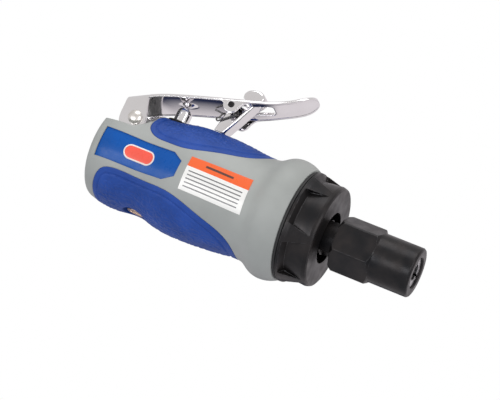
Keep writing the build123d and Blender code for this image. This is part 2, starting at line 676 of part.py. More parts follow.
def inlet_screen():
    """Perforated disc at the bottom of the inlet thread."""
    x0 = INLET_FACE_X + INLET_DEPTH
    disc = tube(x0, x0 + SCREEN_THICK, SCREEN_R - 0.03, 0, INLET_Z)
    for radius, count in ((0.0, 1), (1.6, 6), (3.2, 12)):
        for angle in circle_of(count):
            turn = radians(angle)
            hole = Pos(0, radius * cos(turn), radius * sin(turn)) * tube(x0 - 1, x0 + 2, 0.5)
            disc -= Pos(0, 0, INLET_Z) * hole
    return disc


def exhaust_deflector():
    """Slotted cover over the exhaust silencer."""
    plate = exhaust_sector(REAR_X, REAR_X + 2.0)
    for angle in range(-150, -29, 15):
        slot = box(REAR_X - 1, REAR_X + 3, 12.5, 15.0, -0.6, 0.6)
        plate -= Rot(angle, 0, 0) * slot
    return plate


def silencer_felt():
    return exhaust_sector(REAR_X + 2.0, -125.0, 0.15)


# ---- build and write -------------------------------------------------------------------------
front_outer, front_inner, front_balls = bearing_parts(FRONT_BEARING, FRONT_BEARING_X)
rear_outer, rear_inner, rear_balls = bearing_parts(REAR_BEARING, REAR_BEARING_X)

PARTS = {
    "body_housing": body_housing(),
    "upper_grip_pad": upper_grip_pad(),
    "lower_grip_pad": lower_grip_pad(),
    "name_plate_right": name_plate(-1),
    "name_plate_left": name_plate(1),
    "side_label": side_label(),
    "front_seal": front_seal(),
    "clamp_nut": clamp_nut(),
    "motor_liner": motor_liner(),
    "front_end_plate": front_end_plate(),
    "front_bearing_outer_race": front_outer,
    "front_bearing_inner_race": front_inner,
    "front_bearing_balls": front_balls,
    "spindle_spacer": spindle_spacer(),
    "motor_cylinder": motor_cylinder(),
    "cylinder_pin": cylinder_pin(),
    "rotor": rotor(),
    "rotor_vanes": rotor_vanes(),
    "rear_end_plate": rear_end_plate(),
    "rear_bearing_outer_race": rear_outer,
    "rear_bearing_inner_race": rear_inner,
    "rear_bearing_balls": rear_balls,
    "wave_washer": wave_washer(),
    "rear_gasket": rear_gasket(),
    "collet": collet(),
    "collet_nut": collet_nut(),
    "collet_body": collet_body(),
    "throttle_lever": throttle_lever(),
    "lever_pin": lever_pin(),
    "safety_catch": safety_catch(),
    "catch_pin": catch_pin(),
    "catch_spring": catch_spring(),
    "valve_stem": valve_stem(),
    "valve_poppet": valve_poppet(),
    "valve_bushing": valve_bushing(),
    "stem_seal": stem_seal(),
    "valve_spring": valve_spring(),
    "regulator_screw": regulator_screw(),
    "regulator_seal": regulator_seal(),
    "regulator_retaining_ring": regulator_retaining_ring(),
    "air_inlet_bushing": air_inlet_bushing(),
    "inlet_seal": inlet_seal(),
    "inlet_screen": inlet_screen(),
    "exhaust_deflector": exhaust_deflector(),
    "silencer_felt": silencer_felt(),
}

for node, shape in PARTS.items():
    export_step(shape, f"parts/{node}.step")
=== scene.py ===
import bmesh
import bpy
import json
import math
from mathutils import Matrix, Vector, noise
from mathutils.bvhtree import BVHTree
from mathutils.kdtree import KDTree


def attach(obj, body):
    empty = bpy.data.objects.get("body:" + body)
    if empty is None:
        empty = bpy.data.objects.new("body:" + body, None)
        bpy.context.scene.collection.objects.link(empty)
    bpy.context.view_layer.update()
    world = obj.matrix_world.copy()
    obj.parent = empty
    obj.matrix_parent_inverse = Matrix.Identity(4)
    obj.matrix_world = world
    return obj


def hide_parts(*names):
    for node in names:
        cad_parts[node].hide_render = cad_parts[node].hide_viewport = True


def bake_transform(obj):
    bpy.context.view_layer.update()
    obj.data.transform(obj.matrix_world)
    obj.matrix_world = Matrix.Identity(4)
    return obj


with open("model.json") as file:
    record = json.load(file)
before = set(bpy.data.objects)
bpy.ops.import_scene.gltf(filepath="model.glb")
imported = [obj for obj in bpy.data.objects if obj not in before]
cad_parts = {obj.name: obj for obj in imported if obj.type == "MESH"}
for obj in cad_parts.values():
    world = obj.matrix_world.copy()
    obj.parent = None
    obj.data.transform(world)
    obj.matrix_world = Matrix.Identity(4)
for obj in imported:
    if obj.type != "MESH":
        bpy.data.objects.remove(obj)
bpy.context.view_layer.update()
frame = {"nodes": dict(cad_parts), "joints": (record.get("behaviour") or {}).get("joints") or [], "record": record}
MM = 0.001


def joint_place(name):
    """Side-view place (x, z) of a joint's axis, in millimetres."""
    x, _, z = next(joint["pos_m"] for joint in frame["joints"] if joint["name"] == name)
    return round(x / MM, 3), round(z / MM, 3)


# ---- camera, light and floor, in metres, degrees and watts; the lens in millimetres ----------
CAMERA_TURN = 18.0
CAMERA_DROP = 12.0
CAMERA_ROLL = 21.8
CAMERA_DISTANCE = 0.650
CAMERA_LENS = 121.7
AIM = Vector((-0.060, 0.0, 0.0))
AIM_RIGHT = -0.0086
AIM_UP = 0.0060
FLOOR_Z = -0.215
FLOOR_HALF = 3.0
FLOOR_COLOUR = (0.80, 0.80, 0.80)
KEY = {"place": (-0.20, -0.30, 0.60), "size": (0.40, 0.40), "power": 1.1}
STRIP = {"place": (0.40, -0.50, 0.05), "size": (0.12, 0.60), "power": 1.2}
LOW_FILL = {"place": (-0.30, -0.50, -0.18), "size": (0.50, 0.20), "power": 1.3}
LIGHT_AIM = Vector((-0.07, 0, 0.01))

# The room's walls by height, and the wall behind with its card. Their places are components of
# the direction looked in, from -1 to 1, and a pair is where an edge starts and ends.
ROOM_STRENGTH = 0.80
ROOM_RAMP = [(-1.0, (0.72, 0.74, 0.78)), (-0.35, (0.76, 0.76, 0.79)), (-0.05, (0.82, 0.80, 0.80)),
             (0.25, (0.86, 0.84, 0.83)), (1.0, (0.86, 0.85, 0.84))]
BACK_WALL = (0.95, 0.90, 0.93)
BACK_WALL_EDGE = (0.15, 0.6)
CARD_COLOUR = (0.02, 0.027, 0.07)
CARD_LEAN = 0.8
CARD_LOW = (-0.62, -0.45)
CARD_TOP = (0.22, 0.30)
CARD_SIDE = (-0.11, -0.04)


# ---- shapes of the new pieces, in millimetres and degrees ------------------------------------
PIVOT = joint_place("lever_press")
CATCH_PIVOT = joint_place("catch_release")

# Lever: side-view crest, and what varies along it as (x, value). An ear is a run of rows whose
# feet follow its outline, between two places on the crest.
LEVER_CREST = [(-131.4, 21.35), (-124.7, 24.9), (-117.5, 28.0), (-106.4, 31.5), (-96.7, 34.3),
               (-88.0, 36.8), (-79.3, 39.8), (-73.0, 42.6), (-68.6, 45.2), (-65.4, 47.8),
               (-62.9, 50.6)]
LEVER_WIDEST = 11.0
LEVER_HALF_WIDTH = [(-132.0, LEVER_WIDEST), (-92.0, LEVER_WIDEST), (-84.0, 10.1), (-76.0, 8.5),
                    (-70.0, 8.2)]
LEVER_RIM_DEPTH = [(-131.0, 1.8), (-85.0, 1.8), (-80.0, 1.5), (-74.0, 0.8), (-70.0, 0.5),
                   (-62.0, 0.5)]
LEVER_CROWN = [(-131.0, 0.35), (-85.0, 0.35), (-76.0, 0.15), (-62.0, 0.1)]
LEVER_SHEET = 1.3
LEVER_BEND = 1.6
LEVER_STEP = 0.5
LEVER_CREST_STEP = 0.3
LEVER_EDGE = 0.2
REAR_EAR_R = 4.7
REAR_EAR_ARC = (270, 350)
REAR_EAR_BACK = [(-131.3, 14.0), (-131.0, 11.6), (-130.3, 9.9), (-128.8, 9.1)]
REAR_EAR_EDGE = [(-120.1, 13.0), (-120.7, 15.5), (-122.4, 20.0), (-123.4, 23.2)]
REAR_EAR_CREST = (-131.4, -126.0, -124.2)
REAR_EAR_GAP = 0.5
MID_EAR_R = 3.2
MID_EAR_ARC = (190, 335)
MID_EAR_REAR = [(-95.3, 32.7)]
MID_EAR_FRONT = [(-87.4, 33.3), (-86.6, 34.6), (-85.6, 35.5)]
MID_EAR_CREST = (-95.9, -85.9)
MID_EAR_GAP = 0.4
MID_EAR_STEP = LEVER_STEP * 0.8
PADDLE_ROUND_X = -70.0
PADDLE_TIP_X = -63.6
PADDLE_POWER = 0.77
PADDLE_TURNS = (4, 9, 14, 19, 25, 31, 37, 43, 49, 55, 61, 66, 71, 75, 79, 82, 84.5, 86.5, 88.2)
DIMPLE = {"x": -111.3, "radius": 3.8, "depth": 1.2}
LEVER_SLOT = {"rear": -95.1, "front": -77.4, "half": 4.6, "corner": 1.6, "span_z": (28.0, 45.0)}

# Catch: rows of (wall x, wall z, free edge x, free edge z).
CATCH_ROWS = [(-91.4, 22.5, -95.4, 22.5), (-88.0, 29.2, -93.9, 31.0), (-86.9, 31.8, -92.8, 34.5),
              (-86.3, 33.0, -90.6, 35.3), (-85.4, 34.9, -88.2, 34.8), (-84.5, 36.8, -86.6, 36.5),
              (-82.8, 39.3, -87.4, 37.3), (-82.0, 41.2, -88.2, 37.7), (-83.2, 42.9, -88.7, 37.9),
              (-85.5, 43.7, -89.2, 38.1), (-88.0, 43.3, -89.5, 38.3), (-89.7, 42.4, -89.8, 38.6),
              (-90.6, 41.0, -90.2, 38.8)]
CATCH_HALF_WIDTH = 4.0
CATCH_SHEET = 1.1
CATCH_BEND = 1.3
CATCH_STEP = 0.45
CATCH_EDGE = 0.18

# Folded sheets: points along each part of a section, and the limits that keep a tight one whole.
FOLD_STEPS = {"flange": 8, "bend": 6, "web": 24}
FOLD_SLANT_LEAST = 0.55  # cosine between the flange and the web's normal
FOLD_FLANGE_LEAST = 0.12  # flange below the web's underside
FOLD_REACH_LEAST = 0.25  # inner half width, as a share of the outer
FOLD_BEND_LEAST = 0.08
FOLD_BEND_SHARE = 0.6  # most of the half width that a bend takes
FOLD_BEND_INSIDE = 0.8  # how much tighter the inner bend is, per sheet thickness
FOLD_GAP = 0.01  # flange left below a bend

# Springs. The torsion spring's tail, leg, eye and end are measured from the catch's pin.
SPRING = {"wire": 0.33, "coil": 1.85, "turns": 3.25, "half": 1.0, "steps": 36}
SPRING_TAIL = [(-9.4, -1.2), (-5.0, -1.6), (-1.6, -1.9)]
SPRING_LEG_START = (-2.0, -2.0, -2.3)
SPRING_LEG = [(-3.4, -2.8), (-4.4, -5.0)]
SPRING_LEG_Y = -CATCH_HALF_WIDTH - 0.6
SPRING_LEG_STEP = 0.3
SPRING_EYE = {"x": -4.6, "z": -5.8, "radius": 0.65, "arc": (60, 310)}
SPRING_END = (1.2, -1.8)
VALVE_COIL = {"wire": 0.4, "radius": 3.0, "pitch": 1.75, "low": -7.6, "high": 1.0, "steps": 32}

# Turned pieces. The stem is in line with the regulator, and its profile is (radius, z).
STEM_X, _ = joint_place("regulator_turn")
STEM_PROFILE = [(0, 0.6), (2.4, 0.6), (2.4, 1.4), (1.8, 1.4), (1.8, 5.4), (3.15, 5.4),
                (3.15, 24.7), (3.11, 25.2), (2.96, 25.8), (2.62, 26.4), (2.1, 26.85), (1.4, 27.1),
                (0.7, 27.18), (0, 27.2)]
PIN_HEAD = {"inner": 11.1, "edge": 11.9, "radius": 2.8, "dome": 3.9, "centre": 9.2, "steps": 12}
PIN_HEAD_CHAMFER = 0.1
PIN_R = 1.6
PIN_PLAY = 0.05
CATCH_PIN = {"radius": 1.25, "end": 11.2, "chamfer": 0.25}
CATCH_PIN_PLAY = {"lever": 0.03, "catch": 0.05}
CUT_BEYOND = 1.0
WELD = 0.0002
AXIS_R = 0.001

# Badge: rings of (distance from the middle line, height over the plate). Rays from OUTSIDE_Y
# find the plate.
BADGE = {"x": -112.6, "z": -1.5, "straight": 3.6, "steps": 96}
BADGE_FACE = [(0.02, 0.12), (1.2, 0.12), (2.0, 0.11), (2.4, 0.09)]
BADGE_RIM = [(2.45, 0.15), (2.7, 0.17), (2.9, 0.14), (3.0, 0.0), (3.0, -0.15)]
BADGE_RIM_FROM = 2.42
OUTSIDE_Y = 30

# Label: its print, by height and by place along the tool.
LABEL_WHITE = (0.86, 0.86, 0.84)
LABEL_ORANGE = (0.86, 0.125, 0.022)
LABEL_GREY = (0.13, 0.13, 0.14)
LABEL_DARK = (0.10, 0.04, 0.03)
LABEL_BAR = {"x": (-85.0, -73.5), "z": (2.95, 3.85)}
LABEL_BAND_Z = 1.2
LABEL_RULES_Z = -0.3
LABEL_RULE_STEP = 1.5
LABEL_RULE_WIDTH = 0.45
LABEL_RULES = 5
LABEL_RULE_X = (-90.6, -68.0)

# Grip pads, in metres: mesh size, and the wrinkled field's cells, relief and fade at the groove.
PAD_VOXEL = 0.00029
PAD_WELD = 0.00001
PAD_EASE = {"factor": 0.5, "iterations": 2}
PAD_OUTWARD = 0.6  # least cosine between a surface that gets wrinkles and the radius
PAD_EDGE_FACING = 0.8  # a surface below this cosine is an edge or the groove
PAD_WRINKLE = {"size": 0.0022, "depth": 0.00026, "near": 0.0009, "far": 0.0021}
WRINKLE_WARP = 0.45
WRINKLE_WARP_SIZE = 1.7
WRINKLE_CREASE = 0.4
WRINKLE_MIDDLE = 0.6


# ---- camera ----------------------------------------------------------------------------------
def linked(name, data):
    """New object in the scene."""
    obj = bpy.data.objects.new(name, data)
    bpy.context.scene.collection.objects.link(obj)
    return obj


def camera_axes():
    """Right, up and backward directions of the camera."""
    turn, drop, roll = (math.radians(a) for a in (CAMERA_TURN, CAMERA_DROP, CAMERA_ROLL))
    side = Vector((0, -math.cos(drop), -math.sin(drop)))
    along = Vector((1, 0, 0))
    back = math.sin(turn) * along + math.cos(turn) * side
    level = math.cos(turn) * along - math.sin(turn) * side
    rise = back.cross(level)
    right = math.cos(roll) * level + math.sin(roll) * rise
    up = -math.sin(roll) * level + math.cos(roll) * rise
    return right, up, back


def add_camera():
    right, up, back = camera_axes()
    data = bpy.data.cameras.new("view")
    data.lens = CAMERA_LENS
    camera = linked("view", data)
    place = AIM + right * AIM_RIGHT + up * AIM_UP + back * CAMERA_DISTANCE
    turn = Matrix((right, up, back)).transposed().to_4x4()
    camera.matrix_world = Matrix.Translation(place) @ turn
    bpy.context.scene.camera = camera


# ---- node helpers ----------------------------------------------------------------------------
# Sockets of a mix node that mixes colours: three inputs and its output.
MIX_FACTOR, MIX_A, MIX_B, MIX_COLOUR = 0, 6, 7, 2


def feed(tree, socket, value):
    """Gives a socket a number, a colour or another node's output."""
    if isinstance(value, (int, float)):
        socket.default_value = value
    elif isinstance(value, tuple):
        socket.default_value = (*value, 1)
    else:
        tree.links.new(value, socket)


def map_range(tree, value, low, high, to_low=0.0, to_high=1.0):
    """Runs from to_low to to_high as value runs from low to high."""
    node = tree.nodes.new("ShaderNodeMapRange")
    for name, number in (("From Min", low), ("From Max", high), ("To Min", to_low),
                         ("To Max", to_high), ("Value", value)):
        feed(tree, node.inputs[name], number)
    return node.outputs["Result"]


def arithmetic(tree, operation, *values):
    node = tree.nodes.new("ShaderNodeMath")
    node.operation = operation
    for socket, value in zip(node.inputs, values):
        feed(tree, socket, value)
    return node.outputs["Value"]


def colour_mix(tree, factor, a, b):
    """Colour between a and b, each a colour or an output."""
    node = tree.nodes.new("ShaderNodeMix")
    node.data_type = "RGBA"
    for index, value in ((MIX_FACTOR, factor), (MIX_A, a), (MIX_B, b)):
        feed(tree, node.inputs[index], value)
    return node.outputs[MIX_COLOUR]


def tint(colour, factor, lift=0.0):
    return tuple(min(1.0, part * factor + lift) for part in colour)


# ---- light and floor -------------------------------------------------------------------------
def area_light(name, place, size, power):
    data = bpy.data.lights.new(name, "AREA")
    data.shape = "RECTANGLE"
    data.size, data.size_y = size
    data.energy = power
    lamp = linked(name, data)
    lamp.location = place
    lamp.rotation_euler = (LIGHT_AIM - Vector(place)).to_track_quat("-Z", "Y").to_euler()


def studio_world():
    """White to the eye; for light and reflections a soft room with a dark card behind."""
    world = bpy.data.worlds.new("studio")
    bpy.context.scene.world = world
    world.use_nodes = True
    tree = world.node_tree
    look = tree.nodes.new("ShaderNodeTexCoord").outputs["Generated"]
    split = tree.nodes.new("ShaderNodeSeparateXYZ")
    tree.links.new(look, split.inputs["Vector"])
    x, y, z = (split.outputs[axis] for axis in "XYZ")

    walls = tree.nodes.new("ShaderNodeValToRGB")
    fill_ramp(walls.color_ramp, ROOM_RAMP)
    tree.links.new(map_range(tree, z, -1.0, 1.0), walls.inputs["Fac"])
    leaning = arithmetic(tree, "MULTIPLY_ADD", x, CARD_LEAN, z)
    card = map_range(tree, leaning, *CARD_LOW)
    for value, edge in ((z, CARD_TOP), (x, CARD_SIDE)):
        card = arithmetic(tree, "MULTIPLY", card, map_range(tree, value, *edge, 1.0, 0.0))
    back = colour_mix(tree, card, BACK_WALL, CARD_COLOUR)
    around = colour_mix(tree, map_range(tree, y, *BACK_WALL_EDGE), walls.outputs["Color"], back)

    room = tree.nodes["Background"]
    room.inputs["Strength"].default_value = ROOM_STRENGTH
    tree.links.new(around, room.inputs["Color"])
    white = tree.nodes.new("ShaderNodeBackground")
    white.inputs["Color"].default_value = (1, 1, 1, 1)
    ray = tree.nodes.new("ShaderNodeLightPath")
    either = tree.nodes.new("ShaderNodeMixShader")
    for socket, source in zip(either.inputs, (ray.outputs["Is Camera Ray"],
                                              room.outputs["Background"],
                                              white.outputs["Background"])):
        tree.links.new(source, socket)
    tree.links.new(either.outputs["Shader"], tree.nodes["World Output"].inputs["Surface"])


def fill_ramp(ramp, stops):
    """Colour ramp from (height, colour) pairs, with height from -1 below to 1 above."""
    while len(ramp.elements) < len(stops):
        ramp.elements.new(0.5)
    for element, (height, colour) in zip(ramp.elements, stops):
        element.position = (height + 1) / 2
        element.color = (*colour, 1)


def studio():
    bpy.context.scene.view_settings.view_transform = "Standard"
    studio_world()
    area_light("key", **KEY)
    area_light("front_strip", **STRIP)
    area_light("low_fill", **LOW_FILL)
    mesh = bpy.data.meshes.new("floor")
    mesh.from_pydata([(-FLOOR_HALF, -FLOOR_HALF, FLOOR_Z), (FLOOR_HALF, -FLOOR_HALF, FLOOR_Z),
                      (FLOOR_HALF, FLOOR_HALF, FLOOR_Z), (-FLOOR_HALF, FLOOR_HALF, FLOOR_Z)],
                     [], [(0, 1, 2, 3)])
    floor = linked("floor", mesh)
    floor.visible_glossy = False
    floor.visible_diffuse = False
    floor.data.materials.append(plain("floor_pale", FLOOR_COLOUR, 0.6))


# ---- materials: noise scales are per metre, bump distances and edge radii in metres ----------
class Shader:
    """A new material with its principled shader, and short calls to add nodes."""

    def __init__(self, name, colour, rough, metallic=0.0):
        self.material = bpy.data.materials.new(name)
        self.material.use_nodes = True
        self.tree = self.material.node_tree
        self.main = self.tree.nodes["Principled BSDF"]
        self.main.inputs["Base Color"].default_value = (*colour, 1)
        self.main.inputs["Roughness"].default_value = rough
        self.main.inputs["Metallic"].default_value = metallic
        self.place = self.add("ShaderNodeTexCoord").outputs["Object"]
        self.relief = None

    def add(self, kind, **settings):
        node = self.tree.nodes.new(kind)
        for key, value in settings.items():
            setattr(node, key, value)
        return node

    def link(self, source, node, socket):
        self.tree.links.new(source, node.inputs[socket])

    def noise(self, scale, detail=3.0, rough=0.5, place=None):
        node = self.add("ShaderNodeTexNoise")
        node.inputs["Scale"].default_value = scale
        node.inputs["Detail"].default_value = detail
        node.inputs["Roughness"].default_value = rough
        self.link(place or self.place, node, "Vector")
        return node.outputs["Fac"]

    def cells(self, scale):
        node = self.add("ShaderNodeTexVoronoi")
        node.inputs["Scale"].default_value = scale
        self.link(self.place, node, "Vector")
        return node.outputs["Distance"]

    def stretch(self, factors):
        """Object coordinates scaled per axis."""
        node = self.add("ShaderNodeMapping")
        node.inputs["Scale"].default_value = factors
        self.link(self.place, node, "Vector")
        return node.outputs["Vector"]

    def span(self, value, low, high, to_low, to_high):
        return map_range(self.tree, value, low, high, to_low, to_high)

    def maths(self, operation, *values):
        return arithmetic(self.tree, operation, *values)

    def mix(self, factor, a, b):
        return colour_mix(self.tree, factor, a, b)

    def colour(self, output):
        self.link(output, self.main, "Base Color")

    def roughness(self, output):
        self.link(output, self.main, "Roughness")

    def bump(self, height, strength, distance):
        node = self.add("ShaderNodeBump")
        node.inputs["Strength"].default_value = strength
        node.inputs["Distance"].default_value = distance
        self.link(height, node, "Height")
        if self.relief:
            self.link(self.relief, node, "Normal")
        self.relief = node.outputs["Normal"]
        self.link(self.relief, self.main, "Normal")

    def soft_edges(self, radius):
        """Rounds sharp edges in the shading, before any bump, and returns an edge mask."""
        node = self.add("ShaderNodeBevel", samples=6)
        node.inputs["Radius"].default_value = radius
        self.relief = node.outputs["Normal"]
        self.link(self.relief, self.main, "Normal")
        flat = self.add("ShaderNodeNewGeometry").outputs["Normal"]
        dot = self.add("ShaderNodeVectorMath", operation="DOT_PRODUCT")
        self.tree.links.new(node.outputs["Normal"], dot.inputs[0])
        self.tree.links.new(flat, dot.inputs[1])
        return self.span(dot.outputs["Value"], 0.985, 0.86, 0.0, 1.0)


def plain(name, colour, rough):
    """Matt paint, faintly uneven."""
    shader = Shader(name, colour, rough)
    speck = shader.noise(40.0)
    shader.roughness(shader.span(speck, 0.3, 0.7, rough - 0.05, rough + 0.05))
    return shader.material


def moulded(name, colour, rough):
    """Injection-moulded composite: fine even grain, faint cloudiness and rubbed edges."""
    shader = Shader(name, colour, rough)
    edge = shader.soft_edges(0.0005)
    cloud = shader.noise(55.0, 4.0)
    body = shader.mix(shader.span(cloud, 0.3, 0.7, 0, 1), tint(colour, 0.93),
                      tint(colour, 1.08, 0.01))
    rub = shader.maths("MULTIPLY", edge, shader.span(shader.noise(300.0), 0.4, 0.65, 0.0, 0.35))
    shader.colour(shader.mix(rub, body, tint(colour, 1.25, 0.04)))
    shader.roughness(shader.span(shader.noise(160.0, 4.0), 0.3, 0.7, rough - 0.06, rough + 0.07))
    shader.bump(shader.noise(2600.0, 2.0), 0.5, 0.00004)
    return shader.material


def leathery(name, colour, rough):
    """Soft overmould: fine pores and faint cloudiness over the pad's modelled wrinkles."""
    shader = Shader(name, colour, rough)
    shader.main.inputs["Specular IOR Level"].default_value = 0.32
    cloud = shader.span(shader.noise(90.0, 4.0), 0.3, 0.7, 0, 1)
    shader.colour(shader.mix(cloud, tint(colour, 0.82), tint(colour, 1.15, 0.004)))
    pores = shader.cells(1900.0)
    shader.roughness(shader.span(pores, 0.0, 0.6, rough + 0.08, rough - 0.05))
    shader.bump(pores, 0.25, 0.00006)
    shader.bump(shader.noise(3600.0, 2.0), 0.3, 0.00003)
    return shader.material


def blackened(name):
    """Black-oxide steel: near black, oily sheen, fine turning lines, edges rubbed brighter."""
    shader = Shader(name, (0.022, 0.022, 0.024), 0.36, 0.6)
    shader.main.inputs["Specular IOR Level"].default_value = 0.35
    edge = shader.soft_edges(0.0004)
    cloud = shader.noise(120.0, 5.0)
    body = shader.mix(shader.span(cloud, 0.35, 0.65, 0, 1), (0.015, 0.015, 0.017),
                      (0.032, 0.028, 0.028))
    rub = shader.maths("MULTIPLY", edge, shader.span(shader.noise(500.0), 0.42, 0.62, 0.05, 0.5))
    shader.colour(shader.mix(rub, body, (0.22, 0.22, 0.23)))
    shader.roughness(shader.span(shader.noise(220.0, 4.0), 0.3, 0.7, 0.28, 0.44))
    shader.bump(shader.noise(600.0, 2.0, 0.5, shader.stretch((14.0, 0.3, 0.3))), 0.12, 0.00003)
    shader.bump(shader.noise(2400.0, 2.0), 0.2, 0.00003)
    return shader.material


def polished(name):
    """Chrome plate with faint waviness, smears and hairline scratches."""
    shader = Shader(name, (0.86, 0.85, 0.86), 0.07, 1.0)
    shader.soft_edges(0.0003)
    smear = shader.noise(70.0, 5.0)
    hair = shader.noise(900.0, 2.0, 0.5, shader.stretch((0.25, 3.0, 1.0)))
    both = shader.maths("ADD", shader.span(smear, 0.35, 0.7, 0.04, 0.13),
                        shader.span(hair, 0.62, 0.75, 0.0, 0.10))
    shader.roughness(both)
    shader.colour(shader.mix(shader.span(smear, 0.3, 0.7, 0, 1), (0.88, 0.87, 0.88),
                             (0.80, 0.78, 0.79)))
    shader.bump(shader.noise(45.0, 1.0), 0.15, 0.0004)
    return shader.material


def machined(name, colour, rough, lines=(12.0, 0.4, 0.4)):
    """Bare turned metal with fine tool marks across one axis."""
    shader = Shader(name, colour, rough, 1.0)
    shader.soft_edges(0.0002)
    marks = shader.noise(700.0, 3.0, 0.6, shader.stretch(lines))
    shader.bump(marks, 0.2, 0.00003)
    shader.roughness(shader.span(shader.noise(250.0, 4.0), 0.3, 0.7, rough - 0.07, rough + 0.08))
    shader.colour(shader.mix(shader.span(marks, 0.35, 0.65, 0, 1), tint(colour, 0.85), colour))
    return shader.material


def inlay(name, colour):
    """Printed plate under clear lacquer."""
    shader = Shader(name, colour, 0.34)
    shader.main.inputs["Specular IOR Level"].default_value = 0.22
    shader.main.inputs["Coat Weight"].default_value = 0.06
    shader.main.inputs["Coat Roughness"].default_value = 0.1
    cloud = shader.noise(80.0, 3.0)
    shader.colour(shader.mix(shader.span(cloud, 0.3, 0.7, 0, 1), tint(colour, 0.9),
                             tint(colour, 1.1)))
    shader.roughness(shader.span(shader.noise(600.0, 3.0), 0.3, 0.7, 0.24, 0.36))
    shader.bump(shader.noise(1500.0, 2.0), 0.12, 0.00003)
    return shader.material


def ruled_label(name):
    """Plain sticker: orange band with a bar above, white below with thin grey rules."""
    shader = Shader(name, LABEL_WHITE, 0.32)
    shader.main.inputs["Coat Weight"].default_value = 0.3
    shader.main.inputs["Coat Roughness"].default_value = 0.15
    split = shader.add("ShaderNodeSeparateXYZ")
    shader.link(shader.place, split, "Vector")
    x, z = split.outputs["X"], split.outputs["Z"]

    def inside(value, low, high):
        """1 where value is between two places in millimetres, otherwise 0."""
        return shader.maths("MULTIPLY", shader.maths("GREATER_THAN", value, low * MM),
                            shader.maths("LESS_THAN", value, high * MM))

    down = shader.maths("SUBTRACT", LABEL_RULES_Z * MM, z)
    phase = shader.maths("FRACT", shader.maths("DIVIDE", down, LABEL_RULE_STEP * MM))
    rule = shader.maths("LESS_THAN", phase, LABEL_RULE_WIDTH / LABEL_RULE_STEP)
    rule = shader.maths("MULTIPLY", rule, inside(down, 0.0, LABEL_RULES * LABEL_RULE_STEP))
    rule = shader.maths("MULTIPLY", rule, inside(x, *LABEL_RULE_X))
    paper = shader.mix(shader.span(shader.noise(120.0, 3.0), 0.3, 0.7, 0, 1), LABEL_WHITE,
                       tint(LABEL_WHITE, 0.95))
    printed = shader.mix(rule, paper, LABEL_GREY)
    bar = shader.maths("MULTIPLY", inside(x, *LABEL_BAR["x"]), inside(z, *LABEL_BAR["z"]))
    top = shader.mix(bar, LABEL_ORANGE, LABEL_DARK)
    band = shader.maths("GREATER_THAN", z, LABEL_BAND_Z * MM)
    shader.colour(shader.mix(band, printed, top))
    shader.roughness(shader.span(shader.noise(500.0, 3.0), 0.3, 0.7, 0.26, 0.38))
    shader.bump(shader.noise(1400.0, 2.0), 0.1, 0.00003)
    return shader.material


def rubber(name, colour):
    shader = Shader(name, colour, 0.6)
    shader.roughness(shader.span(shader.noise(400.0, 4.0), 0.3, 0.7, 0.52, 0.68))
    shader.bump(shader.noise(2200.0, 3.0), 0.3, 0.00004)
    return shader.material


def woven(name, colour):
    """Pressed felt or phenolic cloth: crossed fibres."""
    shader = Shader(name, colour, 0.85)
    one = shader.noise(1800.0, 3.0, 0.6, shader.stretch((0.2, 1.0, 1.0)))
    two = shader.noise(1800.0, 3.0, 0.6, shader.stretch((1.0, 0.2, 1.0)))
    weave = shader.maths("ADD", one, two)
    shader.bump(weave, 0.7, 0.0002)
    shader.colour(shader.mix(shader.span(weave, 0.7, 1.3, 0, 1), tint(colour, 0.7), colour))
    return shader.material


# ---- mesh helpers ----------------------------------------------------------------------------
def closed_lattice(name, rows):
    """Closed solid through rings of points in millimetres, its ends and normals made good."""
    width = len(rows[0])
    faces = []
    for i in range(len(rows) - 1):
        for j in range(width):
            k = (j + 1) % width
            faces.append((i * width + j, i * width + k, (i + 1) * width + k, (i + 1) * width + j))
    mesh = bpy.data.meshes.new(name)
    mesh.from_pydata([Vector(point) * MM for row in rows for point in row], [], faces)
    form = bmesh.new()
    form.from_mesh(mesh)
    bmesh.ops.remove_doubles(form, verts=form.verts, dist=WELD * MM)
    bmesh.ops.holes_fill(form, edges=form.edges, sides=0)
    bmesh.ops.recalc_face_normals(form, faces=form.faces)
    form.to_mesh(mesh)
    form.free()
    return linked(name, mesh)


def baked(obj):
    """Mesh of an object as its modifiers or its wire's thickness leave it."""
    bpy.context.view_layer.update()
    graph = bpy.context.evaluated_depsgraph_get()
    return bpy.data.meshes.new_from_object(obj.evaluated_get(graph))


def settle(obj):
    """Bakes an object's modifiers into its mesh."""
    mesh = baked(obj)
    obj.modifiers.clear()
    obj.data = mesh


def cut(obj, cutter):
    """Takes the cutter's shape out of obj."""
    step = obj.modifiers.new("cut", "BOOLEAN")
    step.operation = "DIFFERENCE"
    step.solver = "EXACT"
    step.object = cutter
    settle(obj)
    bpy.data.objects.remove(cutter)


def round_edges(obj, width):
    """Bevels the sharp edges."""
    step = obj.modifiers.new("edges", "BEVEL")
    step.width = width * MM
    step.segments = 2
    step.limit_method = "ANGLE"
    step.angle_limit = math.radians(40.0)
    settle(obj)


def shade(obj, degrees=35.0):
    """Smooth shading, sharp where faces meet at more than the angle."""
    form = bmesh.new()
    form.from_mesh(obj.data)
    for face in form.faces:
        face.smooth = True
    for edge in form.edges:
        edge.smooth = edge.is_manifold and edge.calc_face_angle(0) < math.radians(degrees)
    form.to_mesh(obj.data)
    form.free()


def path(points, step):
    """Catmull-Rom curve through points of any dimension, sampled about every step."""
    points = [Vector(p) for p in points]
    out = []
    for i, (a, b) in enumerate(zip(points, points[1:])):
        before, after = points[max(i - 1, 0)], points[min(i + 2, len(points) - 1)]
        count = max(1, round((b - a).length / step))
        for k in range(count):
            t = k / count
            out.append((2 * a + (b - before) * t + (2 * before - 5 * a + 4 * b - after) * t * t
                        + (3 * a - before - 3 * b + after) * t ** 3) / 2)
    return out + [points[-1]]


